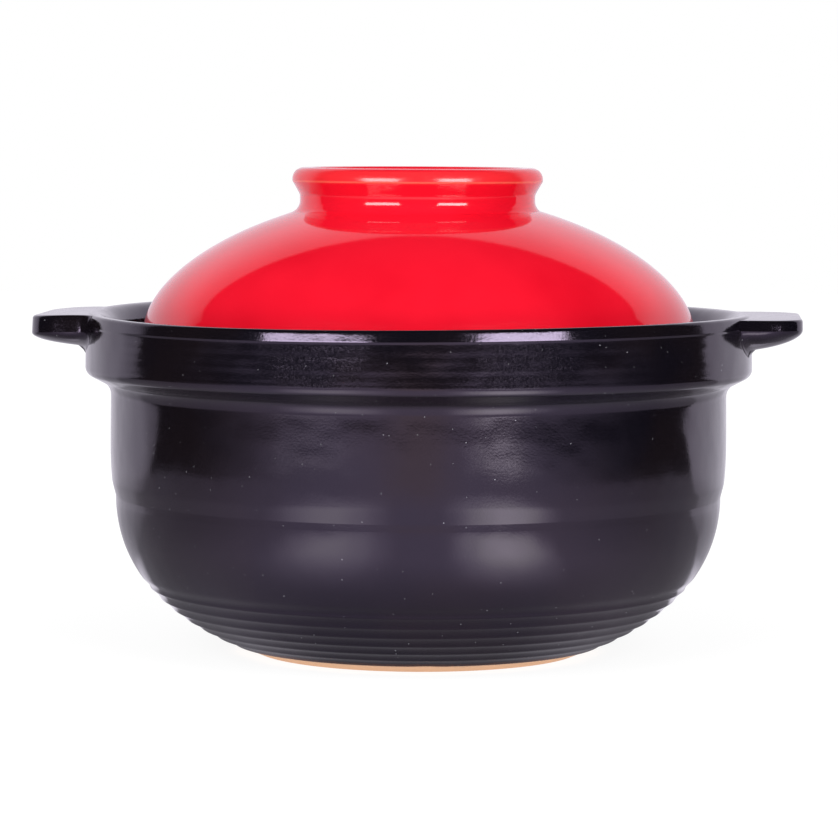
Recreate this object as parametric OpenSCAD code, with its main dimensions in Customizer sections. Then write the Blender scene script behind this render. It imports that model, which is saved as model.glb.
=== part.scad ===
// Glazed earthenware sand pot with two lug handles and a domed lid.
// The base stands on z = 0, the axis of the pot is Z and the handles lie along X.

/* [Pot] */
// Height of the rim above the base
pot_h = 127.5; // [123:0.5:150]
// Outer radius of the wall between waist and collar
wall_r = 115.7; // [108:0.1:118]
// Thickness of the wall
wall_t = 7.2; // [5.5:0.1:9]
// Outward swell of the wall at its middle
wall_swell = 0.3; // [0:0.05:0.8]
// Thickness of the floor
floor_t = 8; // [6:0.5:12]
// Height of the waist, the edge where the wall steps in to the bowl
waist_z = 61.3; // [52:0.1:64]
// How far the bowl steps in below the waist
waist_step = 1.7; // [0.8:0.1:3]
// Height of the sloped band of the waist step
waist_band = 4.7; // [3:0.1:6]
// Depth below the waist that the bowl's curve aims for, past the flat base
bowl_drop = 69.4; // [67:0.1:76]
// Fullness of the bowl's curve, where 2 is an ellipse
bowl_power = 2.26; // [2:0.01:2.6]
// Fullness of the inside curve of the bowl
inside_power = 2.4; // [2.2:0.05:2.8]
// Depth below the flat floor that the inside curve aims for
floor_sink = 6; // [3:0.5:8]
// Radius of the shallow recess under the base
recess_r = 50; // [35:1:55]
// Depth of the recess under the base
recess_d = 1.2; // [0.5:0.1:2.5]

/* [Turned ridges] */
// Number of turned ridges round the lower bowl
ridge_count = 7; // [3:1:7]
// Place of the first ridge on the bowl's curve, in degrees down from the waist
ridge_first = 29.2; // [25:0.1:31]
// Step from one ridge to the next on the bowl's curve, in degrees
ridge_pitch = 4.3; // [3.5:0.05:4.4]
// Depth of the flutes between the ridges
flute_d = 0.45; // [0.2:0.05:0.8]

/* [Collar] */
// Overhang of the collar past the wall
collar_out = 9.5; // [8:0.1:14]
// Height of the collar's outer wall, from its lower edge to the rim
collar_h = 22.3; // [20:0.1:24]
// Rise of the collar's underside from the wall to its lower edge
collar_rise = 5; // [3:0.1:7]
// Outward taper of the collar's outer wall from its lower edge to the rim
collar_taper = 0.4; // [0:0.1:1]
// Round of the collar's lower edge
collar_edge = 3.4; // [2:0.1:4]
// Round of the hollow under the collar
collar_hollow = 5.5; // [3:0.1:7]
// Thickness of the collar
collar_t = 9.2; // [9:0.1:11]
// Round of the rim's inner edge
mouth_edge = 6; // [3:0.1:6]
// Inward lean of the collar's inner wall from the rim to the ledge
collar_lean = 1; // [0.5:0.1:2.5]
// Inward slope of the glaze bead on the outside of the rim
bead_w = 1.2; // [0.6:0.1:1.8]
// Height of the glaze bead
bead_h = 4.1; // [3:0.1:5]
// Depth of the ledge for the lid, below the rim
ledge_d = 20; // [17:0.5:21]
// Round of the inner edge of the ledge
ledge_edge = 1.5; // [0.8:0.1:2]
// Round of the corner between the ledge and the collar
ledge_hollow = 2; // [1:0.1:3]

/* [Handles] */
// Reach of each handle past the collar
handle_out = 18; // [15:0.1:26]
// Width of a handle
handle_w = 70; // [55:1:80]
// Thickness of a handle at its sides and tip
handle_side_t = 4.5; // [3.5:0.1:6]
// Thickness that the middle of a handle's underside deepens to
handle_root_t = 13; // [10:0.1:14]
// Radius of the two corners of a handle, seen from above
handle_corner = 14; // [8:0.5:20]
// Length over which the underside of a handle would deepen in full from its tip
handle_run = 40; // [30:0.5:50]
// Drop of the handles' flat top below the rim
handle_drop = 0.4; // [0.2:0.1:2]
// Round of the top edge of a handle
handle_edge = 1.6; // [0.8:0.1:2]
// Round of the hollow where the underside of a handle meets the collar
handle_hollow = 3.5; // [2.5:0.1:4.5]

/* [Lid] */
// Width of the channel between the dome and the collar, at the ledge
channel_w = 11.6; // [10:0.1:14]
// Rise of the dome above its upright skirt
dome_rise = 51.3; // [42:0.1:58]
// Fullness of the dome's curve, where 2 is an ellipse
dome_power = 1.77; // [1.7:0.01:2.1]
// Thickness of the lid
lid_t = 6.2; // [5:0.1:8]
// Height of the skirt below the dome, with the flange
skirt_h = 13.7; // [12:0.1:17]
// Thickness of the flange that sits on the ledge
flange_t = 4.6; // [3.5:0.1:6]
// Fall of the flange's top from the skirt to its edge
flange_fall = 0.6; // [0:0.1:1.5]
// Round between the skirt and the flange
flange_hollow = 5; // [3:0.1:6]
// Round of the flange's upper edge
flange_edge = 1.8; // [1:0.1:2.2]
// Round of the two lower edges of the lid
lid_foot_edge = 1; // [0.5:0.1:1.5]
// Clearance between the flange and the collar, all round
flange_gap = 2.2; // [1.5:0.1:3]
// Clearance between the flange and the ledge
seat_gap = 0.3; // [0.2:0.05:0.6]
// Radius of the steam vent in the crown
vent_r = 3; // [2:0.25:4]

/* [Grip ring] */
// Radius of the ring's neck, its narrowest place
neck_r = 44.2; // [38:0.1:48]
// Overhang of the ring's lip past the neck
lip_w = 2.9; // [2:0.1:4.5]
// Height of the ring's lip
lip_h = 5; // [4.8:0.1:7]
// Height of the slope from the neck up to the lip
lip_slope = 5.8; // [4:0.1:6.2]
// Rise of the ring's top above the crown
grip_rise = 9; // [8.4:0.1:14]
// Thickness of the ring between its neck and its well
grip_t = 6; // [4.5:0.1:8]
// Round of the ring's lip at its top
lip_edge = 4.2; // [2:0.1:4.3]
// Round of the hollow where the neck spreads onto the dome
neck_hollow = 4.8; // [3:0.1:6]
// Spread of the ring's foot over the dome
neck_spread = 9.6; // [7:0.1:11]
// Round of the well's upper edge
well_edge = 2.6; // [1.5:0.1:3]
// Round of the hollow where the well meets the crown
well_hollow = 2; // [1:0.1:2.5]

/* [Hidden] */
$fn = 96;
arc_step = 12;
curve_step = 3;
flute_steps = 4;
bowl_r = wall_r - waist_step;
collar_r = wall_r + collar_out;
bowl_start = asin(pow(waist_band / bowl_drop, bowl_power / 2));
bowl_end = asin(pow(waist_z / bowl_drop, bowl_power / 2));
collar_edge_z = pot_h - collar_h;
collar_under_z = collar_edge_z - collar_rise;
ledge_z = pot_h - ledge_d;
rim_round = 1.4;
waist_round = 6;
mouth_r = wall_r - wall_t;
mouth_top_r = collar_r - collar_t;
ledge_r = mouth_top_r - collar_lean;
dome_r = ledge_r - channel_w;
flange_r = ledge_r - flange_gap;
lid_z = ledge_z + seat_gap;
flange_z = lid_z + flange_t;
dome_z = lid_z + skirt_h;
crown_z = dome_z + dome_rise;
grip_z = crown_z + grip_rise;
lip_r = neck_r + lip_w;
lip_z = grip_z - lip_h;
well_r = neck_r - grip_t;
handle_reach = collar_r + handle_out;
handle_z = pot_h - handle_drop;
// How far the handles' blanks reach into the collar before it cuts them
handle_bury = 12;
// How far the belly's oval goes on into the collar
root_bury = 4;
// How much narrower the root's belly is than the handle, at each side
root_in = 1.5;
// Share of a handle's width over which its belly deepens, from each side
belly_share = 0.4;
belly_steps = 6;
// Round of the lip's lower edge and of the turn from the neck to the lip's slope
lip_under = 1.8;
slope_hollow = 3;
slope_start = 0.6;
// Rise of the neck's and the well's foot above the dome, and the depth of the foot's blank in it
foot_fill = 0.1;
well_fill = 0.9;
foot_sink = 0.4;
// Draft of the well, and the run of its rounded foot
well_draft = 0.8;
well_foot = 3;
// Thickness of the slices that the handles are hulled from
slice = 0.01;

// Unit vector along v
function unit(v) = v / norm(v);

// Points of the round that replaces the corner p between its neighbours a and b
function corner_round(p, a, b, r) =
    let (
        u = unit(a - p),
        v = unit(b - p),
        half = acos(u * v) / 2,
        c = p + unit(u + v) * r / sin(half),
        s = p + u * r / tan(half) - c,
        e = p + v * r / tan(half) - c,
        start = atan2(s.y, s.x),
        turn = (atan2(e.y, e.x) - start + 540) % 360 - 180,
        n = max(2, ceil(abs(turn) / arc_step))
    )
    [for (i = [0:n]) c + r * [cos(start + turn * i / n), sin(start + turn * i / n)]];

// Outline through corners of the form [x, y, round], the ends kept sharp
function rounded(corners) = [
    for (i = [0:len(corners) - 1])
        let (k = corners[i], p = [k.x, k.y])
        each i == 0 || i == len(corners) - 1 || k[2] == 0
            ? [p]
            : corner_round(
                p,
                [corners[i - 1].x, corners[i - 1].y],
                [corners[i + 1].x, corners[i + 1].y],
                k[2]
            )
];

// Point of a turned curve that starts upright at radius r and height z, and reaches rise above it
function curve_point(r, z, rise, power, t) =
    [r * pow(cos(t), 2 / power), z + rise * pow(sin(t), 2 / power)];

// Depth of the flutes at the place t of the bowl's curve
function flute(t) =
    let (u = (t - ridge_first) / ridge_pitch, f = u - floor(u))
    u <= -1 || u >= ridge_count ? 0
        : u < 0 ? 6.75 * flute_d * f * f * (1 - f)
        : 4 * flute_d * f * (1 - f);

// Outside of the bowl from the base up to the waist
bowl_smooth_end = ridge_first - ridge_pitch;
bowl_places = [
    for (t = [bowl_start + curve_step:curve_step:bowl_smooth_end - curve_step / 2]) t,
    for (i = [0:(ridge_count + 1) * flute_steps])
        let (t = bowl_smooth_end + i * ridge_pitch / flute_steps)
        if (t < bowl_end - 0.5) t,
    bowl_end
];
bowl_outside = [
    for (i = [len(bowl_places) - 1:-1:0])
        let (t = bowl_places[i])
        curve_point(bowl_r, waist_z, -bowl_drop, bowl_power, t) + flute(t) * [-cos(t), sin(t)]
];

// Wall between waist and collar, with its swell
wall_high = collar_under_z - collar_hollow;
wall_outside = [
    for (i = [1:7])
        let (k = i / 8)
        [wall_r + 4 * wall_swell * k * (1 - k), waist_z + k * (wall_high - waist_z)]
];

band_foot = curve_point(bowl_r, waist_z, -bowl_drop, bowl_power, bowl_start);
band_below = bowl_outside[len(bowl_outside) - 1];
waist_outside = rounded([
    [band_below.x, band_below.y, 0],
    [band_foot.x, band_foot.y, waist_round],
    [wall_r, waist_z, waist_round],
    [wall_outside[0].x, wall_outside[0].y, 0]
]);
waist_points = [for (i = [1:len(waist_outside) - 2]) waist_outside[i]];

collar_outside = rounded([
    [wall_r, wall_high, 0],
    [wall_r, collar_under_z, collar_hollow],
    [collar_r - collar_taper, collar_edge_z, collar_edge],
    [collar_r, pot_h - bead_h, 0],
    [collar_r - bead_w, pot_h, rim_round],
    [mouth_top_r, pot_h, 0]
]);
outside_profile = concat(bowl_outside, waist_points, wall_outside, collar_outside);

// Inside of the pot from the rim down to the middle of the floor
inside_drop = waist_z - floor_t + floor_sink;
inside_end = asin(pow((waist_z - floor_t) / inside_drop, inside_power / 2));
mouth_inside = rounded([
    [collar_r - bead_w, pot_h, 0],
    [mouth_top_r, pot_h, mouth_edge],
    [ledge_r, ledge_z, ledge_hollow],
    [mouth_r, ledge_z, ledge_edge],
    [mouth_r, waist_z, 0]
]);
mouth_points = [for (i = [1:len(mouth_inside) - 1]) mouth_inside[i]];
bowl_inside = [
    for (i = [1:16])
        curve_point(mouth_r, waist_z, -inside_drop, inside_power, inside_end * i / 16)
];

module pot_section() {
    polygon(concat(
        [[0, recess_d], [recess_r, recess_d], [recess_r + recess_d, 0]],
        [for (i = [0:len(outside_profile) - 2]) outside_profile[i]],
        mouth_points,
        bowl_inside,
        [[0, floor_t]]
    ));
}

module pot_body() {
    color("#2b2530")
        rotate_extrude() pot_section();
}

// Solid of the pot's outer form, for cutting the handles to the collar
module pot_outer_form() {
    rotate_extrude()
        polygon(concat([[0, 0]], outside_profile, [[0, pot_h]]));
}

// Outline of a handle from above, drawn in by tip_in at the tip and side_in at the sides
module handle_outline(tip_in, side_in) {
    root = collar_r - handle_bury;
    x = handle_reach - tip_in;
    y = handle_w / 2 - side_in;
    r = min(handle_corner, y - slice, x - root - slice);
    polygon(rounded([[root, -y, 0], [x, -y, r], [x, y, r], [root, y, 0]]));
}

module handle_slice(depth, tip_in, side_in) {
    translate([0, 0, handle_z - depth])
        linear_extrude(slice)
            handle_outline(tip_in, side_in);
}

// Angle on the belly's oval at the length s from where it starts
function belly_angle(s) = acos(max(0, 1 - s / handle_run));

// Belly of a handle, an oval deepening towards depth, up to the angle end of its oval
module handle_belly(depth, tip_in, run, side_in, end) {
    for (i = [0:belly_steps])
        let (a = end * i / belly_steps)
        handle_slice(
            handle_side_t + (depth - handle_side_t) * sin(a),
            tip_in + run * (1 - cos(a)),
            side_in + handle_w * belly_share * (1 - cos(a))
        );
}

// Handle with a flat top, rounded edges and a belly that deepens towards its root
module handle_form() {
    hull() {
        for (a = [0:30:90])
            handle_slice(
                handle_edge * (1 - sin(a)) + slice,
                handle_edge * (1 - cos(a)),
                handle_edge * (1 - cos(a))
            );
        handle_belly(handle_root_t, 0, handle_run, 0, belly_angle(handle_out + root_bury));
    }
}

// Deeper belly at the root of a handle, hollowed to a round where it meets the collar
module handle_root() {
    start = belly_angle(handle_out - handle_hollow);
    depth = handle_side_t + (handle_root_t - handle_side_t) * sin(start) + handle_hollow;
    difference() {
        hull()
            handle_belly(depth, handle_out - handle_hollow, 0, root_in, 90);
        translate([0, 0, handle_z - depth])
            rotate_extrude()
                translate([collar_r + handle_hollow, 0])
                    circle(handle_hollow);
    }
}

module handle() {
    color("#2b2530")
        difference() {
            union() {
                handle_form();
                handle_root();
            }
            pot_outer_form();
        }
}

module handle_right() {
    handle();
}

module handle_left() {
    mirror([1, 0, 0]) handle();
}

// Outside of the lid, from the crown down to the flange
dome_outside = [
    for (t = [90:-curve_step:curve_step]) curve_point(dome_r, dome_z, dome_rise, dome_power, t)
];
skirt_outside = rounded([
    [dome_r, dome_z, 0],
    [dome_r, flange_z + flange_fall, flange_hollow],
    [flange_r, flange_z, flange_edge],
    [flange_r, lid_z, lid_foot_edge],
    [dome_r - lid_t, lid_z, lid_foot_edge],
    [dome_r - lid_t, dome_z, 0]
]);
dome_inside = [
    for (t = [curve_step:curve_step:90])
        curve_point(dome_r - lid_t, dome_z, dome_rise - lid_t, dome_power, t)
];

module lid_dome() {
    color("#e8222f")
        difference() {
            rotate_extrude()
                polygon(concat(dome_outside, skirt_outside, dome_inside));
            translate([0, 0, crown_z - 2 * lid_t])
                cylinder(r = vent_r, h = 3 * lid_t);
        }
}

// Height of the dome's outside at radius r
function dome_height(r) =
    dome_z + dome_rise * pow(1 - pow(r / dome_r, dome_power), 1 / dome_power);

foot_r = neck_r + neck_spread;
ring_profile = rounded([
    [well_r - well_foot, dome_z, 0],
    [foot_r, dome_z, 0],
    [foot_r, dome_height(foot_r) - foot_sink, 0],
    [neck_r, dome_height(neck_r) + foot_fill, neck_hollow],
    [neck_r, lip_z - lip_slope + slope_start, slope_hollow],
    [lip_r, lip_z, lip_under],
    [lip_r, grip_z, lip_edge],
    [well_r, grip_z, well_edge],
    [well_r - well_draft, dome_height(well_r) + well_fill, well_hollow],
    [well_r - well_foot, dome_height(well_r - well_foot), 0]
]);

// Ring stuck on the crown: a waisted neck under a rounded lip, open in the middle as a well
module lid_grip_ring() {
    color("#e8222f")
        rotate_extrude()
            difference() {
                polygon(ring_profile);
                polygon(concat([[0, 0]], [[0, crown_z]], dome_outside, [[dome_r, 0]]));
            }
}

pot_body();
handle_left();
handle_right();
lid_dome();
lid_grip_ring();
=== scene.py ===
import bpy, bmesh, math
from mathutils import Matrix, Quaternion, Vector


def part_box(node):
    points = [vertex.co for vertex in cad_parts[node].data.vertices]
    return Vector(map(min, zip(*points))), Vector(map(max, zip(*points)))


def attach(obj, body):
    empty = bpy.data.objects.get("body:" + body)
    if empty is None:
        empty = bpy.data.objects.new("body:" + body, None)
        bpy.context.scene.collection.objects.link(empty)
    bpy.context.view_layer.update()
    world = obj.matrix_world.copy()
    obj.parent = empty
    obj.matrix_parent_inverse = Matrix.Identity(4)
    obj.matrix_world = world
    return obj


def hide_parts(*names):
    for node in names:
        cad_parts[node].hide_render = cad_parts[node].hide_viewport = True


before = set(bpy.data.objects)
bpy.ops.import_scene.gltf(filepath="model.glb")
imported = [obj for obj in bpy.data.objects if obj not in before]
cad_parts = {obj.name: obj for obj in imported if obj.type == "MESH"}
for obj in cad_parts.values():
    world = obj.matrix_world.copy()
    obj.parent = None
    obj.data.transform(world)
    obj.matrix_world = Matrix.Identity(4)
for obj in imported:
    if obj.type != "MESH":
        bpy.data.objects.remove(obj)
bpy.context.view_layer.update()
mm = 0.001
print("frame loaded")

# Camera, a little above the rim and a few degrees round to the right handle's side

cameraSettings = {
    "place": (0.0987, -1.4116, 0.199),
    "aim": (0.0002, 0.00003, 0.0872),
    "lens": 161.7,
    "roll": 0.26,  # degrees
}


def addCamera(settings):
    data = bpy.data.cameras.new("studioCamera")
    data.lens, data.sensor_width = settings["lens"], 36
    camera = bpy.data.objects.new("studioCamera", data)
    bpy.context.scene.collection.objects.link(camera)
    place = Vector(settings["place"])
    look = (Vector(settings["aim"]) - place).to_track_quat("-Z", "Y")
    camera.rotation_mode = "QUATERNION"
    camera.location = place
    camera.rotation_quaternion = look @ Quaternion((0, 0, 1), math.radians(settings["roll"]))
    bpy.context.scene.camera = camera
    return camera


camera = addCamera(cameraSettings)
toCamera = Vector((camera.location.x, camera.location.y, 0)).normalized()
toRight = Vector((-toCamera.y, toCamera.x, 0))


# Helpers for node trees


def addNode(tree, kind, inputs=None, **settings):
    node = tree.nodes.new(kind)
    for key, value in settings.items():
        setattr(node, key, value)
    for key, value in (inputs or {}).items():
        if isinstance(value, bpy.types.NodeSocket):
            tree.links.new(value, node.inputs[key])
        else:
            node.inputs[key].default_value = value
    return node


def calc(tree, operation, *values, clamp=False):
    inputs = dict(enumerate(values))
    return addNode(tree, "ShaderNodeMath", inputs, operation=operation, use_clamp=clamp).outputs[0]


def ramp(tree, value, low, high, start=0.0, end=1.0):
    inputs = {"Value": value, "From Min": low, "From Max": high, "To Min": start, "To Max": end}
    node = addNode(tree, "ShaderNodeMapRange", inputs, interpolation_type="SMOOTHSTEP")
    return node.outputs["Result"]


def mixValue(tree, share, first, second):
    return addNode(tree, "ShaderNodeMix", {0: share, 2: first, 3: second}).outputs[0]


def mixColor(tree, share, first, second):
    node = addNode(tree, "ShaderNodeMix", data_type="RGBA")
    for key, value in ((0, share), (6, first), (7, second)):
        if isinstance(value, bpy.types.NodeSocket):
            tree.links.new(value, node.inputs[key])
        else:
            node.inputs[key].default_value = value
    return node.outputs[2]


def along(tree, vector, direction):
    inputs = {0: vector, 1: tuple(direction)}
    return addNode(tree, "ShaderNodeVectorMath", inputs, operation="DOT_PRODUCT").outputs["Value"]


def between(tree, value, low, high, soft):
    begun = ramp(tree, value, low - soft, low + soft)
    return calc(tree, "MULTIPLY", begun, ramp(tree, value, high - soft, high + soft, 1.0, 0.0))


def slopeOf(tree, value, depth):
    return calc(tree, "DIVIDE", value, calc(tree, "MAXIMUM", depth, 0.001))


def startGroup(name, inputs, outputs):
    group = bpy.data.node_groups.new(name, "ShaderNodeTree")
    for title, kind, value in inputs:
        socket = group.interface.new_socket(name=title, in_out="INPUT", socket_type="NodeSocket" + kind)
        if kind != "Vector":
            socket.default_value = value
    for title, kind in outputs:
        group.interface.new_socket(name=title, in_out="OUTPUT", socket_type="NodeSocket" + kind)
    return group, group.nodes.new("NodeGroupInput").outputs, group.nodes.new("NodeGroupOutput").inputs


def useGroup(tree, group, inputs):
    return addNode(tree, "ShaderNodeGroup", inputs, node_tree=group).outputs


def startMaterial(name):
    material = bpy.data.materials.new(name)
    material.use_nodes = True
    tree = material.node_tree
    tree.nodes.clear()
    return material, tree, tree.nodes.new("ShaderNodeOutputMaterial").inputs


# World: white for the camera, and the studio round the pot for its reflections

worldSettings = {
    "plainLight": 0.32,
    "mirrored": (0.93, 0.89, 1.0, 1),  # tint of the white that the glazes mirror
    "backdropLeft": 2.9,  # how far the white backdrop reaches, as tangents
    "backdropRight": 2.45,
    "backdropSoft": 0.06,
    "backdropStart": 0.02,
    "backdropLow": -9.0,
    "backdropTop": 1.2,
    "topSoft": 0.04,
    "fadeTop": (0.5, 0.6),  # where the light starts to fall towards the top, and what is left there
    "backdropLight": 0.95,
    "fadeLeft": (1.6, 2.9, 0.5),  # the left end of the backdrop is in its own shade
    "darkLight": 0.012,
}


def whiteBehind(tree, side, back, settings):
    across = slopeOf(tree, side, back)
    left, right = -settings["backdropLeft"], settings["backdropRight"]
    white = between(tree, across, left, right, settings["backdropSoft"])
    near, far, least = settings["fadeLeft"]
    white = calc(tree, "MULTIPLY", white, ramp(tree, across, -far, -near, least, 1.0))
    return calc(tree, "MULTIPLY", white, ramp(tree, back, 0.0, settings["backdropStart"]))


def addWorld(settings):
    world = bpy.data.worlds.new("studioWorld")
    bpy.context.scene.world = world
    world.use_nodes = True
    world.cycles.sampling_method = "NONE"
    tree = world.node_tree
    tree.nodes.clear()
    direction = addNode(tree, "ShaderNodeTexCoord").outputs["Generated"]
    side, up = along(tree, direction, toRight), along(tree, direction, (0, 0, 1))
    front = along(tree, direction, toCamera)
    back = calc(tree, "MULTIPLY", front, -1.0)

    backdrop = whiteBehind(tree, side, back, settings)
    backdrop = calc(tree, "MULTIPLY", backdrop, settings["backdropLight"])
    rise = slopeOf(tree, up, back)
    low, top = settings["backdropLow"], settings["backdropTop"]
    backdrop = calc(tree, "MULTIPLY", backdrop, between(tree, rise, low, top, settings["topSoft"]))
    near, least = settings["fadeTop"]
    backdrop = calc(tree, "MULTIPLY", backdrop, ramp(tree, rise, near, top, 1.0, least))
    seen = calc(tree, "ADD", backdrop, settings["darkLight"])
    path = addNode(tree, "ShaderNodeLightPath").outputs
    mirrored = calc(tree, "MAXIMUM", path["Is Glossy Ray"], path["Is Transmission Ray"])
    strength = mixValue(tree, mirrored, settings["plainLight"], seen)
    strength = mixValue(tree, path["Is Camera Ray"], strength, 1.0)
    color = mixColor(tree, mirrored, (1, 1, 1, 1), settings["mirrored"])
    light = addNode(tree, "ShaderNodeBackground", {"Color": color, "Strength": strength})
    output = tree.nodes.new("ShaderNodeOutputWorld")
    tree.links.new(light.outputs[0], output.inputs["Surface"])


addWorld(worldSettings)

floorSettings = {
    "radius": 3.0,
    "glow": (0.91, 1.0),  # near the pot and away from it
    "glowReach": (0.2, 0.6),
    "shadow": 0.17,  # how much of the white the object's shadow can take
    "paperLight": 0.36,  # the white paper that the glaze mirrors
    "paperReach": (0.54, 0.78),
    "underPot": (0.07, 0.19),  # the pot shades the paper under itself, least at its two sides
    "underTurn": (0.35, 1.2, 0.22, 0.58),
    "frontLight": 1.0,
    "frontTurn": (0.3, 1.6),  # radians to each side of the camera
    "frontReach": (1.3, 2.4),
    "frontFar": 0.4,
    "behindLight": (0.6, 0.95),
    "behindReach": (0.25, 0.7),
    "behindClose": (0.16, 0.2, 1.8),
    "glareTint": (1.0, 1.06, 0.93, 1),
    "glareTinting": 0.6,
    "glares": (  # glare of the two lamps, near the pot and far from it
        {"turn": -0.44, "half": 0.37, "light": 1.45, "reach": (0.12, 0.21, 0.24, 0.45)},
        {"turn": 0.43, "half": 0.33, "light": 2.75, "reach": (0.12, 0.21, 0.24, 0.45)},
        {"turn": -0.66, "half": 0.4, "light": 1.1, "reach": (0.8, 0.98, 1.04, 1.3)},
        {"turn": 0.51, "half": 0.28, "light": 3.6, "reach": (0.8, 0.98, 1.04, 1.3)},
    ),
    "bounce": 0.5,  # what the bright paper gives back to the clay under the pot
    "warmth": (1.0, 0.86, 0.78, 1),  # painted reflection: a warm tint put into the paper only where the glazes mirror it, straight in front; the camera sees the paper white
    "warmShare": 0.8,
    "warmTurn": 0.3,
    "warmReach": (0.25, 0.6),
    "farLight": 0.015,
    "paper": (0.8, 0.8, 0.8, 1),
}


def addFloor(settings):
    bm = bmesh.new()
    bmesh.ops.create_circle(bm, cap_ends=True, segments=96, radius=settings["radius"])
    mesh = bpy.data.meshes.new("studioFloor")
    bm.to_mesh(mesh)
    bm.free()
    floor = bpy.data.objects.new("studioFloor", mesh)
    bpy.context.scene.collection.objects.link(floor)
    material, tree, output = startMaterial("floorPaper")
    material.cycles.emission_sampling = "NONE"
    place = addNode(tree, "ShaderNodeNewGeometry").outputs["Position"]
    path = addNode(tree, "ShaderNodeLightPath").outputs
    side, front = along(tree, place, toRight), along(tree, place, toCamera)
    back = calc(tree, "MULTIPLY", front, -1.0)
    away = addNode(tree, "ShaderNodeVectorMath", {0: place}, operation="LENGTH").outputs["Value"]
    turn = calc(tree, "ARCTAN2", side, front)
    offFront = calc(tree, "ABSOLUTE", turn)
    under = ramp(tree, away, *settings["underPot"], ramp(tree, offFront, *settings["underTurn"]), 1.0)
    near = ramp(tree, away, *settings["paperReach"], settings["paperLight"], settings["farLight"])
    facing = ramp(tree, offFront, *settings["frontTurn"], 1.0, 0.0)
    farther = ramp(tree, away, *settings["frontReach"], 1.0, settings["frontFar"])
    facing = calc(tree, "MULTIPLY", facing, farther)
    white = mixValue(tree, facing, near, settings["frontLight"])
    behind = calc(tree, "MULTIPLY", whiteBehind(tree, side, back, worldSettings),
                  ramp(tree, away, *settings["behindReach"], *settings["behindLight"]))
    behind = calc(tree, "MULTIPLY", behind, ramp(tree, away, *settings["behindClose"], 1.0))
    white = calc(tree, "MAXIMUM", calc(tree, "MULTIPLY", white, under), behind)
    glares = 0.0
    for glare in settings["glares"]:
        start, whole, fade, end = glare["reach"]
        reach = ramp(tree, away, start, whole)
        reach = calc(tree, "MULTIPLY", reach, ramp(tree, away, fade, end, 1.0, 0.0))
        off = calc(tree, "ABSOLUTE", calc(tree, "SUBTRACT", turn, glare["turn"]))
        light = ramp(tree, off, 0.0, glare["half"], glare["light"], 0.0)
        glares = calc(tree, "MULTIPLY_ADD", light, reach, glares)
    white = calc(tree, "ADD", white, glares)
    plain = ramp(tree, away, *settings["glowReach"], *settings["glow"])
    white = mixValue(tree, path["Is Camera Ray"], white, plain)
    # painted reflection: the paper turns warm straight in front, but only for glossy rays
    warm = ramp(tree, offFront, 0.0, settings["warmTurn"], settings["warmShare"], 0.0)
    warm = calc(tree, "MULTIPLY", warm, ramp(tree, away, *settings["warmReach"]))
    color = mixColor(tree, warm, worldSettings["mirrored"], settings["warmth"])
    tinted = calc(tree, "MULTIPLY", glares, settings["glareTinting"], clamp=True)
    color = mixColor(tree, tinted, color, settings["glareTint"])
    color = mixColor(tree, path["Is Camera Ray"], color, (1, 1, 1, 1))
    glow = addNode(tree, "ShaderNodeEmission", {"Color": color, "Strength": white}).outputs[0]
    shadow = settings["shadow"]
    veil = addNode(tree, "ShaderNodeBsdfDiffuse", {"Color": (shadow, shadow, shadow, 1)}).outputs[0]
    forCamera = addNode(tree, "ShaderNodeAddShader", {0: glow, 1: veil}).outputs[0]
    paper = addNode(tree, "ShaderNodeBsdfDiffuse", {"Color": settings["paper"]}).outputs[0]
    bounce = addNode(tree, "ShaderNodeEmission", {"Strength": settings["bounce"]}).outputs[0]
    paper = addNode(tree, "ShaderNodeAddShader", {0: paper, 1: bounce}).outputs[0]
    glossy, camera = path["Is Glossy Ray"], path["Is Camera Ray"]
    other = addNode(tree, "ShaderNodeMixShader", {0: glossy, 1: paper, 2: glow}).outputs[0]
    both = addNode(tree, "ShaderNodeMixShader", {0: camera, 1: other, 2: forCamera}).outputs[0]
    tree.links.new(both, output["Surface"])
    mesh.materials.append(material)


addFloor(floorSettings)

lampSettings = {
    "distance": 1.6,
    "pot": (0, 0, 0.09),
    "soft": {  # light on the clay and the glaze's own colour
        "leftSoft": {"side": -36, "up": 29, "size": (1.2, 0.8), "power": 13.0},
        "rightSoft": {"side": 38, "up": 29, "size": (1.2, 0.8), "power": 13.0},
        "topSoft": {"side": 0, "up": 75, "size": (1.4, 1.4), "power": 3.0},
    },
    "boxes": {  # softboxes that only the glazes mirror
        "leftBox": {"side": -34, "up": 13, "size": (0.95, 0.5), "power": 18.0},
        "rightBox": {"side": 34, "up": 13, "size": (0.8, 0.5), "power": 17.0},
    },
}


def addLamps(settings):
    for kind in ("soft", "boxes"):
        for name, lamp in settings[kind].items():
            data = bpy.data.lights.new(name, "AREA")
            data.shape, data.energy = "RECTANGLE", lamp["power"]
            data.size, data.size_y = lamp["size"]
            lampObject = bpy.data.objects.new(name, data)
            bpy.context.scene.collection.objects.link(lampObject)
            turn, rise = math.radians(lamp["side"]), math.radians(lamp["up"])
            level = toCamera * math.cos(turn) + toRight * math.sin(turn)
            away = level * math.cos(rise) + Vector((0, 0, math.sin(rise)))
            lampObject.location = Vector(settings["pot"]) + away * settings["distance"]
            lampObject.rotation_euler = (-away).to_track_quat("-Z", "Y").to_euler()
            lampObject.visible_camera = False
            lampObject.visible_glossy = kind == "boxes"
            lampObject.visible_diffuse = kind == "soft"


addLamps(lampSettings)
bpy.context.scene.view_settings.view_transform = "Standard"
print("camera, world, floor and lamps made")


# Effects that the glazes share


skinSettings = {
    "cloudSize": 60.0,  # in millimetres, as all sizes of the glaze's marks
    "speckLeast": 0.02,  # radius of a speck, as a share of its cell
    "speckMore": 0.055,
    "driftSize": 1000 / 55.0,  # the glaze line's slow rise and fall
    "lineSoft": 0.0001,  # in metres
    "peelRange": (0.3, 0.7),
    "bumpUnit": 0.001,  # the glazes' heights are in millimetres
}


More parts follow.
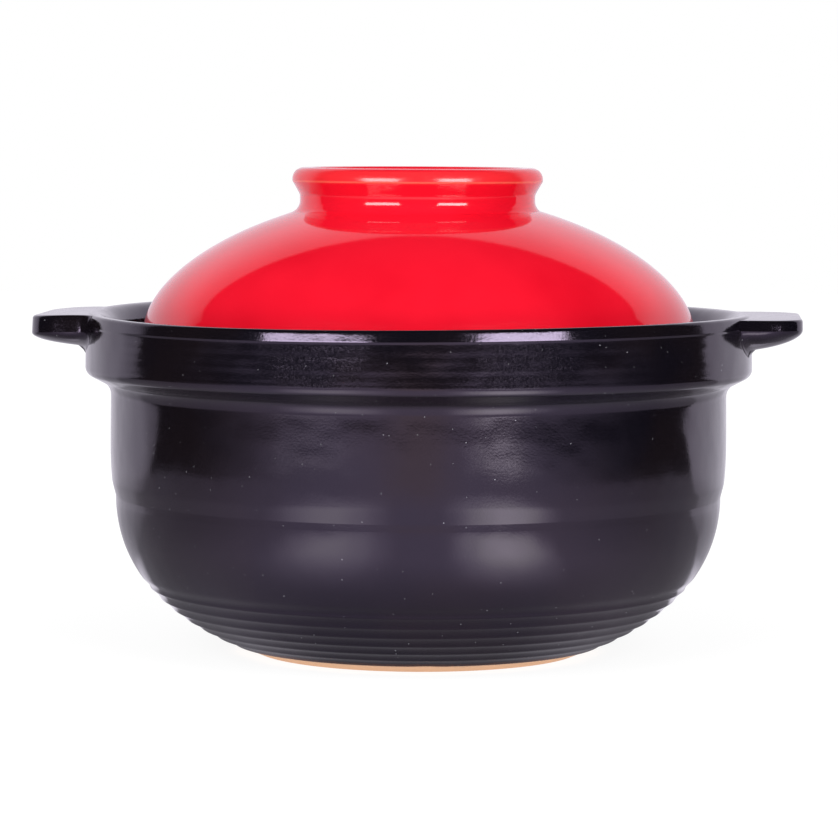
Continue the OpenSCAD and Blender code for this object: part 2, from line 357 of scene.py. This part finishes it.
def perMetre(tree, size):
    return calc(tree, "DIVIDE", 1000.0, size)


def noise(tree, place, size, detail):
    inputs = {"Vector": place, "Scale": perMetre(tree, size), "Detail": detail}
    return addNode(tree, "ShaderNodeTexNoise", inputs).outputs[0]


def makeGlazeSkin(settings):
    inputs = [("Position", "Vector", None), ("Peel Size", "Float", 1.5), ("Wave Size", "Float", 14.0),
              ("Speck Size", "Float", 5.0), ("Speck Share", "Float", 0.2)]
    outputs = [(name, "Float") for name in ("Peel", "Waves", "Specks", "Cloud")]
    group, given, out = startGroup("glazeSkin", inputs, outputs)
    place = given["Position"]
    cells = addNode(group, "ShaderNodeTexVoronoi", {
        "Vector": place, "Scale": perMetre(group, given["Speck Size"])}).outputs
    chosen = addNode(group, "ShaderNodeSeparateColor", {0: cells["Color"]}).outputs
    size = calc(group, "MULTIPLY_ADD", chosen[1], settings["speckMore"], settings["speckLeast"])
    near = calc(group, "LESS_THAN", cells["Distance"], size)
    few = calc(group, "LESS_THAN", chosen[0], given["Speck Share"])
    group.links.new(noise(group, place, given["Peel Size"], 2.0), out["Peel"])
    group.links.new(noise(group, place, given["Wave Size"], 1.0), out["Waves"])
    group.links.new(noise(group, place, settings["cloudSize"], 3.0), out["Cloud"])
    group.links.new(calc(group, "MULTIPLY", near, few), out["Specks"])
    return group


def makeTurnedLines():
    inputs = [("Position", "Vector", None), ("Line Size", "Float", 1.0)]
    group, given, out = startGroup("turnedLines", inputs, [("Lines", "Float"), ("Height", "Float")])
    parts = addNode(group, "ShaderNodeSeparateXYZ", {0: given["Position"]}).outputs
    square = calc(group, "MULTIPLY", parts[0], parts[0])
    square = calc(group, "MULTIPLY_ADD", parts[1], parts[1], square)
    radius = calc(group, "SQRT", square)
    section = addNode(group, "ShaderNodeCombineXYZ", {0: radius, 2: parts[2]}).outputs[0]
    group.links.new(noise(group, section, given["Line Size"], 3.0), out["Lines"])
    group.links.new(parts[2], out["Height"])
    return group


def makeGlazeLine(settings):
    inputs = [("Position", "Vector", None), ("Height", "Float", 0.0), ("Level", "Float", 0.0),
              ("Wander", "Float", 1.0), ("Band", "Float", 1.0)]
    group, given, out = startGroup("glazeLine", inputs, [("Bare", "Float"), ("Edge", "Float")])
    drift = noise(group, given["Position"], settings["driftSize"], 3.0)
    drift = calc(group, "MULTIPLY", calc(group, "SUBTRACT", drift, 0.5), given["Wander"])
    past = calc(group, "SUBTRACT", calc(group, "ADD", given["Level"], drift), given["Height"])
    group.links.new(ramp(group, past, -settings["lineSoft"], settings["lineSoft"]), out["Bare"])
    depth = calc(group, "DIVIDE", calc(group, "ABSOLUTE", past), given["Band"])
    group.links.new(ramp(group, depth, 0.0, 1.0, 1.0, 0.0), out["Edge"])
    return group


glazeSkin = makeGlazeSkin(skinSettings)
turnedLines = makeTurnedLines()
glazeLine = makeGlazeLine(skinSettings)


def layGlaze(tree, settings, level):
    place = addNode(tree, "ShaderNodeTexCoord").outputs["Object"]
    skin = useGroup(tree, glazeSkin, {"Position": place, **settings["skin"]})
    turned = useGroup(tree, turnedLines, {"Position": place, "Line Size": settings["lineSize"]})
    line = useGroup(tree, glazeLine, {
        "Position": place, "Height": turned["Height"], "Level": level, **settings["line"]})
    clay = mixColor(tree, turned["Lines"], settings["clayDark"], settings["clay"])
    clouds = ramp(tree, skin["Cloud"], *settings["cloudRange"])
    polish = ramp(tree, skin["Peel"], *skinSettings["peelRange"], *settings["roughness"])
    height = 0.0
    for mark, source in (("Peel", skin), ("Waves", skin), ("Lines", turned), ("Cloud", skin)):
        if mark in settings["heights"]:
            height = calc(tree, "MULTIPLY_ADD", source[mark], settings["heights"][mark], height)
    bump = {"Strength": 1.0, "Distance": skinSettings["bumpUnit"], "Height": height}
    normal = addNode(tree, "ShaderNodeBump", bump).outputs[0]
    return {"specks": skin["Specks"], "bare": line["Bare"], "edge": line["Edge"],
            "clay": clay, "clouds": clouds, "polish": polish, "normal": normal}


potGlazeSettings = {
    "glaze": (0.0036, 0.003, 0.0055, 1),
    "cloud": (0.0062, 0.0042, 0.0055, 1),
    "cloudRange": (0.4, 0.65),
    "sheen": (0.86, 0.7, 1.0, 1),
    "thin": (0.09, 0.035, 0.012, 1),
    "speck": (0.42, 0.42, 0.46, 1),
    "clay": (0.86, 0.6, 0.4, 1),
    "clayDark": (0.74, 0.48, 0.29, 1),
    "footLevel": 0.003,  # the glaze ends this far above the table, in metres
    "skin": {"Peel Size": 0.8, "Wave Size": 9.0, "Speck Size": 2.4, "Speck Share": 0.4},
    "lineSize": 2.2,
    "line": {"Wander": 0.0012, "Band": 0.0016},
    "roughness": (0.08, 0.13),
    "clayRoughness": 0.85,
    "heights": {"Peel": 0.016, "Waves": 0.03, "Lines": 0.01, "Cloud": 1.2},  # in millimetres
    "refraction": 1.6,
}


def makePotGlaze(settings):
    material, tree, output = startMaterial("blackSandPotGlaze")
    marks = layGlaze(tree, settings, settings["footLevel"])
    glaze = mixColor(tree, marks["clouds"], settings["glaze"], settings["cloud"])
    glaze = mixColor(tree, marks["specks"], glaze, settings["speck"])
    glaze = mixColor(tree, marks["edge"], glaze, settings["thin"])
    shader = addNode(tree, "ShaderNodeBsdfPrincipled", {
        "Base Color": mixColor(tree, marks["bare"], glaze, marks["clay"]),
        "Roughness": mixValue(tree, marks["bare"], marks["polish"], settings["clayRoughness"]),
        "IOR": settings["refraction"],
        "Specular Tint": settings["sheen"],
        "Normal": marks["normal"],
    })
    tree.links.new(shader.outputs[0], output["Surface"])
    return material


lidGlazeSettings = {
    "glaze": (0.86, 0.008, 0.026, 1),
    "deep": (0.74, 0.004, 0.018, 1),
    "cloudRange": (0.35, 0.7),
    "thin": (0.9, 0.12, 0.07, 1),
    "thinRoughness": 0.12,  # the most that thin glaze adds
    "clay": (0.74, 0.5, 0.3, 1),
    "clayDark": (0.58, 0.36, 0.2, 1),
    "footLevel": 0.0006,  # the glaze ends this far above the lid's lowest edge, in metres
    "skin": {"Peel Size": 1.6, "Wave Size": 22.0},
    "lineSize": 5.0,
    "line": {"Wander": 0.001, "Band": 0.001},
    "roughness": (0.05, 0.09),
    "clayRoughness": 0.85,
    "heights": {"Peel": 0.002, "Waves": 0.03, "Lines": 0.008},
    "refraction": 1.5,
}


def makeLidGlaze(settings, footHeight):
    material, tree, output = startMaterial("redLidGlaze")
    marks = layGlaze(tree, settings, footHeight + settings["footLevel"])
    thin = addNode(tree, "ShaderNodeAttribute", attribute_name="thinGlaze").outputs["Fac"]
    glaze = mixColor(tree, marks["clouds"], settings["glaze"], settings["deep"])
    glaze = mixColor(tree, thin, glaze, settings["thin"])
    rougher = calc(tree, "MINIMUM", thin, settings["thinRoughness"])
    polish = calc(tree, "ADD", marks["polish"], rougher)
    shader = addNode(tree, "ShaderNodeBsdfPrincipled", {
        "Base Color": mixColor(tree, marks["bare"], glaze, marks["clay"]),
        "Roughness": mixValue(tree, marks["bare"], polish, settings["clayRoughness"]),
        "IOR": settings["refraction"],
        "Normal": marks["normal"],
    })
    tree.links.new(shader.outputs[0], output["Surface"])
    return material


potGlaze = makePotGlaze(potGlazeSettings)
lidGlaze = makeLidGlaze(lidGlazeSettings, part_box("lid_dome")[0].z)
print("glazes made")


# Turned forms, in millimetres as (radius, height)

turning = {
    "roundStep": 6.0,  # degrees from point to point of a rounded corner
    "leastSteps": 3,
    "onAxis": 1e-6,
    # how a piece is out of round, from 0 to 1: waves a turn, start, twist with the height, share
    "waves": ((2, 0.8, 0.01, 0.3), (5, 0.0, 0.05, 0.2)),
}


def cornerRound(corner, before, after, radius):
    corner, before, after = Vector(corner), Vector(before), Vector(after)
    first, last = (before - corner).normalized(), (after - corner).normalized()
    half = first.angle(last) / 2
    centre = corner + (first + last).normalized() * radius / math.sin(half)
    start = corner + first * radius / math.tan(half) - centre
    end = corner + last * radius / math.tan(half) - centre
    turn = math.atan2(start.cross(end), start.dot(end))
    count = max(turning["leastSteps"], math.ceil(abs(math.degrees(turn)) / turning["roundStep"]))
    points = []
    for index in range(count + 1):
        angle = turn * index / count
        spun = Vector((start.x * math.cos(angle) - start.y * math.sin(angle),
                       start.x * math.sin(angle) + start.y * math.cos(angle)))
        points.append(tuple(centre + spun))
    return points


def rounded(corners):
    points = []
    for index, (x, y, radius) in enumerate(corners):
        if radius and 0 < index < len(corners) - 1:
            points += cornerRound((x, y), corners[index - 1][:2], corners[index + 1][:2], radius)
        else:
            points.append((x, y))
    return points


def turnedCurve(radius, height, rise, power, degrees):
    angle = math.radians(degrees)
    across, up = max(math.cos(angle), 0) ** (2 / power), max(math.sin(angle), 0) ** (2 / power)
    return (radius * across, height + rise * up)


def spread(start, end, count):
    return [start + (end - start) * index / count for index in range(count + 1)]


def fineProfile(points, longest):
    fine = [points[0]]
    for first, second in zip(points, points[1:]):
        count = max(1, math.ceil(math.dist(first, second) / longest))
        for index in range(1, count + 1):
            fine.append(tuple(a + (b - a) * index / count for a, b in zip(first, second)))
    return fine


def outOfRound(angle, height):
    share = 0.5
    for count, start, twist, part in turning["waves"]:
        share += part * math.sin(count * angle + start + height * twist)
    return share


def turnedMesh(name, profile, material, segments, wander, closed=False, masks=None, settle=None):
    bm = bmesh.new()
    layer = bm.verts.layers.float.new("thinGlaze")
    rings = []
    for index, (radius, height) in enumerate(profile):
        ring = []
        for turn in range(1 if radius < turning["onAxis"] else segments):
            angle = 2 * math.pi * turn / segments
            reach = radius - wander * outOfRound(angle, height)
            place = Vector((reach * math.cos(angle), reach * math.sin(angle), height))
            vertex = bm.verts.new((settle(place) if settle else place) * mm)
            vertex[layer] = masks[index] if masks else 0.0
            ring.append(vertex)
        rings.append(ring)
    pairs = list(zip(rings, rings[1:])) + ([(rings[-1], rings[0])] if closed else [])
    for lower, upper in pairs:
        for turn in range(segments):
            after = (turn + 1) % segments
            around = ((lower, turn), (lower, after), (upper, after), (upper, turn))
            corners = list(dict.fromkeys(ring[at % len(ring)] for ring, at in around))
            if len(corners) > 2:  # a ring on the axis is one point
                bm.faces.new(corners)
    bmesh.ops.recalc_face_normals(bm, faces=bm.faces)
    return finishMesh(name, bm, material)


def finishMesh(name, bm, material):
    for face in bm.faces:
        face.smooth = True
    mesh = bpy.data.meshes.new(name)
    bm.to_mesh(mesh)
    bm.free()
    mesh.materials.append(material)
    piece = bpy.data.objects.new(name, mesh)
    bpy.context.scene.collection.objects.link(piece)
    return piece


# Pot

pot = {
    "rimHeight": 127.5,
    "wallRadius": 115.7,
    "wallThickness": 7.2,
    "wallSwell": 0.16,
    "wallPart": (0.1, 0.97, 8),  # the swelling stretch of the wall, from and to, and its steps
    "floorThickness": 8.0,
    "waistHeight": 61.3,
    "waistStep": 1.7,
    "waistBand": 4.7,
    "waistBandRound": 2.0,
    "waistRound": 12.0,
    # above the step the wall leans in: how far, from and to where, rounding
    "waistLead": (0.45, 3.0, 8.5, 100.0),
    "waistGroove": (0.05, 2.1, 1.2),  # the groove's depth, its drop below the step, its rounding
    "bowlDrop": 69.4,
    "bowlPower": 2.26,
    "bowlSteps": 150,
    "insidePower": 2.4,
    "insideSteps": 40,
    "floorSink": 6.0,
    "recessRadius": 50.0,
    "recessDepth": 1.2,
    "footRound": 0.8,
    "ridges": 7,
    "firstRidge": 29.2,  # degrees down the bowl's curve, as is the pitch
    "ridgePitch": 4.3,
    "fluteDepth": 0.45,
    "collarRadius": 125.2,
    "collarHeight": 22.3,
    "collarRise": 5.0,
    "collarEdge": 3.4,
    "collarHollow": 5.5,
    "collarThickness": 9.2,
    "collarLean": 1.0,
    "collarTip": 0.25,  # how much narrower the collar is at the top
    "collarWaves": 0.006,  # height of the faint turning lines
    "collarWaveTurns": ((1.9, 0.0), (0.83, 1.0)),  # radians to the millimetre, and where they start
    "beadWidth": 0.75,
    "beadHeight": 4.1,
    "beadRoll": 0.15,  # how far the glaze stands out at the bead's lower edge
    "beadRollHeight": 0.8,
    "beadRollRounds": (0.6, 0.15),
    "rimRound": 1.4,
    "mouthEdge": 6.0,
    "rimWarp": 0.6,  # how far the fired rim bends out of its plane
    "ledgeDepth": 20.0,
    "ledgeRounds": (2.0, 1.5),
    "fineStep": 0.7,  # longest step of the outline at the collar, and elsewhere
    "step": 4.0,
    "turns": 200,
    "outOfRound": 0.12,
}


def potProfile(p):
    rim, waist, wall = p["rimHeight"], p["waistHeight"], p["wallRadius"]
    bowl = wall - p["waistStep"]

    def bowlPoint(degrees):
        return turnedCurve(bowl, waist, -p["bowlDrop"], p["bowlPower"], degrees)

    def bowlAngle(depth):
        return math.degrees(math.asin((depth / p["bowlDrop"]) ** (p["bowlPower"] / 2)))

    def flute(degrees):
        place = (degrees - p["firstRidge"]) / p["ridgePitch"]
        part = place - math.floor(place)
        if place <= -1 or place >= p["ridges"]:
            return 0.0
        if place < 0:  # the highest one starts softly; 6.75 and 4 bring both curves' tops to 1
            return 6.75 * p["fluteDepth"] * part * part * (1 - part)
        return 4 * p["fluteDepth"] * part * (1 - part)

    start, end = bowlAngle(p["waistBand"]), bowlAngle(waist)
    bowlLine = []
    for degrees in spread(end, start, p["bowlSteps"])[:-1]:
        r, z = bowlPoint(degrees)
        angle = math.radians(degrees)
        bowlLine.append((r - flute(degrees) * math.cos(angle), z + flute(degrees) * math.sin(angle)))
    collarLow = rim - p["collarHeight"]
    under = collarLow - p["collarRise"]
    wallTop = under - p["collarHollow"]
    wallLine = [(wall + 4 * p["wallSwell"] * k * (1 - k), waist + k * (wallTop - waist))
                for k in spread(*p["wallPart"])]
    grooveIn, grooveDown, grooveRound = p["waistGroove"]
    leadIn, leadLow, leadHigh, leadRound = p["waistLead"]
    waistLine = rounded([
        (*bowlLine[-1], 0),
        (*bowlPoint(start), p["waistBandRound"]),
        (bowl - grooveIn, waist - grooveDown, grooveRound),
        (wall - leadIn, waist + leadLow, p["waistRound"]),
        (wall, waist + leadHigh, leadRound),
        (*wallLine[3], 0),
    ])[1:-1]
    collar, face = p["collarRadius"], p["collarRadius"] - p["collarTip"]
    topOut = face - p["beadWidth"]
    mouthTop = collar - p["collarThickness"]
    ledgeOut = mouthTop - p["collarLean"]
    mouth = wall - p["wallThickness"]
    ledge = rim - p["ledgeDepth"]
    beadLow = rim - p["beadHeight"]
    upper = rounded([
        (wall, wallTop, 0),
        (wall, under, p["collarHollow"]),
        (collar, collarLow, p["collarEdge"]),
        (face, beadLow - p["beadRollHeight"], p["beadRollRounds"][0]),
        (face + p["beadRoll"], beadLow, p["beadRollRounds"][1]),
        (topOut, rim, p["rimRound"]),
        (mouthTop, rim, p["mouthEdge"]),
        (ledgeOut, ledge, p["ledgeRounds"][0]),
        (mouth, ledge, p["ledgeRounds"][1]),
        (mouth, waist, 0),
    ])

    def waved(r, z):
        if r > collar - 1 and collarLow + 2 < z < beadLow - 1:
            lines = sum(math.sin(z * rate + begin) for rate, begin in p["collarWaveTurns"])
            r += p["collarWaves"] * lines
        return (r, z)

    waves = [waved(r, z) for r, z in fineProfile(upper, p["fineStep"])]
    drop = waist - p["floorThickness"] + p["floorSink"]
    last = math.degrees(math.asin(((waist - p["floorThickness"]) / drop) ** (p["insidePower"] / 2)))
    inside = [turnedCurve(mouth, waist, -drop, p["insidePower"], degrees)
              for degrees in spread(0, last, p["insideSteps"])[1:]]
    recess, depth, footRound = p["recessRadius"], p["recessDepth"], p["footRound"]
    foot = rounded([
        (0, depth, 0),
        (recess, depth, footRound),
        (recess + depth, 0, footRound),
        (bowlLine[0][0], 0, footRound),
        (*bowlLine[3], 0),
    ])[:-1]
    outside = foot + bowlLine[4:] + waistLine + wallLine[3:] + waves[1:]
    return fineProfile(outside + inside + [(0, p["floorThickness"])], p["step"])


def warpRim(place):
    low = pot["rimHeight"] - pot["collarHeight"]
    share = min(max((place.z - low) / pot["collarHeight"], 0.0), 1.0)
    turn = math.atan2(place.dot(toRight), place.dot(toCamera))
    return place + Vector((0, 0, pot["rimWarp"] * math.sin(2 * turn) * share * share * (3 - 2 * share)))


potPoints = potProfile(pot)
potBody = turnedMesh("potBody", potPoints, potGlaze, pot["turns"], pot["outOfRound"], settle=warpRim)
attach(potBody, "pot")
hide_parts("pot_body")
print("pot made")

# Handles

handle = {
    "reach": 143.2,
    "width": 70.0,
    "corner": 14.0,
    "top": 127.1,
    "sideThickness": {"handleRight": 3.9, "handleLeft": 6.2},  # pinched by hand, so they differ
    "droop": {"handleRight": 0.0, "handleLeft": 0.8},
    "rootThickness": 13.0,
    "run": 40.0,
    "rootBury": 4.0,  # how far the belly's oval goes on into the collar
    "topRings": (10.0, 4.0),  # how far in from the outline the rings of the flat top lie
    "topFan": 0.1,  # spreads their hidden roots, so that they don't fold over each other
    "edge": 1.2,
    "edgeTip": 0.7,  # the edge is rounded less at the tip than at the sides
    "lean": 0.29,  # slope of the sides, which spread going down
    "faceRings": (0.4, 0.7, 0.97),
    "bellyNarrowing": 0.4,
    "filletPower": 0.6,  # how fast the fillet at the root grows under the belly
    "rootFillet": 2.6,
    "sideFillet": {"handleRight": 1.2, "handleLeft": 7.0},
    "fullRun": 21.0,  # a shorter level has smaller corners and fillets
    "leastRun": 0.4,
    "leastFront": 0.5,  # half the least width of the straight front
    "buried": 122.0,  # radius of the hidden root, inside the collar
    "steps": {"fillet": 8, "side": 4, "corner": 12, "front": 16, "root": 16, "edge": 7, "belly": 16},
    "bite": 0.15,  # how far each level goes into the collar, and more beside the rim's rounding
    "rimBite": 0.5,
    "rimBiteDepth": 0.7,
}


def collarAt(height, h):
    down = pot["rimHeight"] - height
    top = pot["collarRadius"] - pot["collarTip"] - pot["beadWidth"]
    share = min(max(down / pot["beadHeight"], 0.0), 1.0)
    bite = h["rimBite"] if down < h["rimBiteDepth"] else h["bite"]
    return top + (pot["beadWidth"] + pot["beadRoll"]) * share - bite


def handleOutline(h, tipIn, sideIn, collar, sideFillet, buried):
    steps = h["steps"]
    half = h["width"] / 2 - sideIn
    rootX = math.sqrt(collar ** 2 - half ** 2)
    tip = max(h["reach"] - tipIn, rootX + h["leastRun"])
    size = min((tip - rootX) / h["fullRun"], 1.0)
    fillet = sideFillet * size
    corner = min(h["corner"] * size, half - h["leastFront"])
    centreY = -half - fillet
    centreX = math.sqrt((collar + fillet) ** 2 - centreY ** 2)
    meet = math.atan2(centreX, -centreY)  # from the fillet's centre towards the pot's axis
    flare = [(centreX - fillet * math.sin(a), centreY + fillet * math.cos(a))
             for a in spread(meet, 0, steps["fillet"])]
    side = [(x, -half) for x in spread(centreX, max(tip - corner, centreX), steps["side"])[1:]]
    arc = [(tip - corner + corner * math.sin(a), -half + corner - corner * math.cos(a))
           for a in spread(0, math.pi / 2, steps["corner"])[1:]]
    left = flare + side + arc
    across = [(tip, y) for y in spread(-half + corner, half - corner, steps["front"])[1:-1]]
    right = [(x, -y) for x, y in reversed(left)]
    sweep = math.atan2(-flare[0][1], flare[0][0])
    root = [(buried * math.cos(a), buried * math.sin(a)) for a in spread(sweep, -sweep, steps["root"])]
    return left + across + right + root


def handleLevels(h, deep):
    # depth under the top, how far in at the tip and the sides, share of the fillet at the root
    edge, steps = h["edge"], h["steps"]
    lean = h["lean"] * (deep - edge)
    levels = [(0.0, inset, inset, 0.0) for inset in h["topRings"]]
    for a in spread(math.pi / 2, math.atan(h["lean"]), steps["edge"]):
        inset = edge * (1 - math.cos(a))
        levels.append((edge * (1 - math.sin(a)), h["edgeTip"] * inset, inset + lean, 0.0))
    levels += [(edge + (deep - edge) * k, 0.0, lean * (1 - k), 0.0) for k in h["faceRings"]]
    belly = h["reach"] - pot["collarRadius"] + h["rootBury"]
    under = []
    for a in spread(0, math.acos(1 - belly / h["run"]), steps["belly"]):
        run = 1 - math.cos(a)
        depth = deep + (h["rootThickness"] - deep) * math.sin(a)
        sideIn = h["width"] * h["bellyNarrowing"] * run
        under.append((depth, h["run"] * run, sideIn, math.sin(a) ** h["filletPower"]))
    return levels, under


def handleMesh(name, h, material, side):
    bm = bmesh.new()
    collar, fillet = pot["collarRadius"], h["rootFillet"]
    face, under = handleLevels(h, h["sideThickness"][name])
    rings = []
    for depth, tipIn, sideIn, share in face + under:
        ring = []
        buried = h["buried"] + (h["topFan"] * tipIn if depth == 0 else 0.0)
        root = collarAt(h["top"] - depth, h)
        for x, y in handleOutline(h, tipIn, sideIn, root, h["sideFillet"][name], buried):
            gap = min(max(math.hypot(x, y) - collar, 0.0), fillet)
            drop = fillet - math.sqrt(fillet ** 2 - (fillet - gap) ** 2)
            droop = h["droop"][name] * max((x - collar) / (h["reach"] - collar), 0.0) ** 2
            z = h["top"] - depth - drop * share - droop
            ring.append(bm.verts.new((side * x * mm, y * mm, z * mm)))
        rings.append(ring)
    for upper, lower in zip(rings, rings[1:]):
        for index in range(len(upper)):
            after = (index + 1) % len(upper)
            bm.faces.new((upper[index], upper[after], lower[after], lower[index]))
    bm.faces.new(rings[0])
    bm.faces.new(rings[-1])
    corner = rings[len(face)]  # the edge between face and belly stays sharp
    for first, second in zip(corner, corner[1:] + corner[:1]):
        bm.edges.get((first, second)).smooth = False
    bmesh.ops.recalc_face_normals(bm, faces=bm.faces)
    return finishMesh(name, bm, material)


for name, node, side in (("handleRight", "handle_right", 1), ("handleLeft", "handle_left", -1)):
    piece = handleMesh(name, handle, potGlaze, side)
    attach(piece, "pot")
    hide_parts(node)
print("handles made")

# Lid

lid = {
    "domeRadius": 103.4,
    "domeRise": 51.3,
    "domePower": 1.77,
    "thickness": 6.2,
    "skirtHeight": 13.7,
    "flangeThickness": 4.6,
    "flangeFall": 0.6,
    "flangeHollow": 5.0,
    "flangeRadius": 112.8,
    "flangeRounds": (1.8, 1.0, 1.0),  # top, bottom and inner edge
    "foot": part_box("lid_dome")[0].z / mm,
    "ventRadius": 3.0,
    "ventRound": 1.2,
    "curveSteps": 90,
    "step": 4.0,
    "turns": 224,
    "outOfRound": 0.1,
}


def lidProfile(d):
    base = d["foot"] + d["skirtHeight"]
    inner = d["domeRadius"] - d["thickness"]
    crown, ceiling = base + d["domeRise"], base + d["domeRise"] - d["thickness"]
    vent, turn = d["ventRadius"], d["ventRound"]

    def curve(radius, rise):
        points = [turnedCurve(radius, base, rise, d["domePower"], degrees)
                  for degrees in spread(90, 0, d["curveSteps"])[1:]]
        return [point for point in points if point[0] > vent + 2 * turn]

    outside = curve(d["domeRadius"], d["domeRise"])[:-1]
    within = curve(inner, d["domeRise"] - d["thickness"])
    seat = d["foot"] + d["flangeThickness"]
    topRound, lowRound, innerRound = d["flangeRounds"]
    skirt = rounded([
        (d["domeRadius"], base, 0),
        (d["domeRadius"], seat + d["flangeFall"], d["flangeHollow"]),
        (d["flangeRadius"], seat, topRound),
        (d["flangeRadius"], d["foot"], lowRound),
        (inner, d["foot"], innerRound),
        (inner, base, 0),
    ])
    hole = rounded([
        (*within[0], 0),
        (vent, ceiling, turn),
        (vent, crown, turn),
        (*outside[0], 0),
    ])[1:-1]
    return fineProfile(outside + skirt[:-1] + within[::-1] + hole, d["step"])


lidDome = turnedMesh("lidDome", lidProfile(lid), lidGlaze, lid["turns"], lid["outOfRound"], closed=True)
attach(lidDome, "lid")
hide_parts("lid_dome")
print("lid made")

# Ring on top of the lid

gripRing = {
    "neckRadius": 44.2,
    "lipOut": 2.9,
    "lipHeight": 5.0,
    "lipSlope": 5.2,
    "rise": 9.0,
    "thickness": 6.0,
    "neckHollow": 4.8,
    "neckSpread": 9.6,
    "neckLift": 0.1,
    "neckRound": 3.0,
    "wellEdge": 2.6,
    "wellFoot": (0.8, 0.9, 2.0),  # how far in the well's corner lies, how high, its rounding
    "wellSpread": 3.0,
    "lipEdge": 4.2,
    "lipTip": 0.4,  # how much narrower the lip is at the top
    "lipUnder": 1.8,
    "sunk": 1.0,  # the ring goes this deep into the dome
    "sunkEdge": 0.3,  # and the edge of its foot this deep
    "thinLine": 0.6,  # the glaze is thin this far to each side of the lip's lower edge
    "lipThin": 0.12,  # and a little thinner, so rougher, all over the lip
    "step": 0.6,
    "turns": 192,
    "outOfRound": 0.1,
    "offCentre": 0.7,  # the ring was stuck on a little to the left
}


def ringProfile(g, d):
    base = d["foot"] + d["skirtHeight"]
    top = base + d["domeRise"] + g["rise"]
    lipLow = top - g["lipHeight"]
    neck = g["neckRadius"]
    foot, lip, well = neck + g["neckSpread"], neck + g["lipOut"], neck - g["thickness"]
    wellIn, wellUp, wellRound = g["wellFoot"]
    inside = well - g["wellSpread"]

    def domeHeight(radius):
        fall = (radius / d["domeRadius"]) ** d["domePower"]
        return base + d["domeRise"] * (1 - fall) ** (1 / d["domePower"])

    points = fineProfile(rounded([
        (foot, domeHeight(foot) - g["sunk"], 0),
        (foot, domeHeight(foot) - g["sunkEdge"], 0),
        (neck, domeHeight(neck) + g["neckLift"], g["neckHollow"]),
        (neck, lipLow - g["lipSlope"], g["neckRound"]),
        (lip, lipLow, g["lipUnder"]),
        (lip - g["lipTip"], top, g["lipEdge"]),
        (well, top, g["wellEdge"]),
        (well - wellIn, domeHeight(well) + wellUp, wellRound),
        (inside, domeHeight(inside), 0),
        (inside, domeHeight(inside) - g["sunk"], 0),
    ]), g["step"])

    def thinAt(point):
        onLip = point[0] > neck + 1 and point[1] > lipLow
        line = 1 - math.dist(point, (lip, lipLow)) / g["thinLine"]
        return max(0.0, line, g["lipThin"] if onLip else 0.0)

    return points, [thinAt(point) for point in points]


def offCentre(place):
    return place - toRight * gripRing["offCentre"]


ringPoints, ringMasks = ringProfile(gripRing, lid)
lidRing = turnedMesh("lidRing", ringPoints, lidGlaze, gripRing["turns"], gripRing["outOfRound"],
                     closed=True, masks=ringMasks, settle=offCentre)
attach(lidRing, "lid")
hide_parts("lid_grip_ring")
print("grip ring made")

bpy.context.view_layer.update()
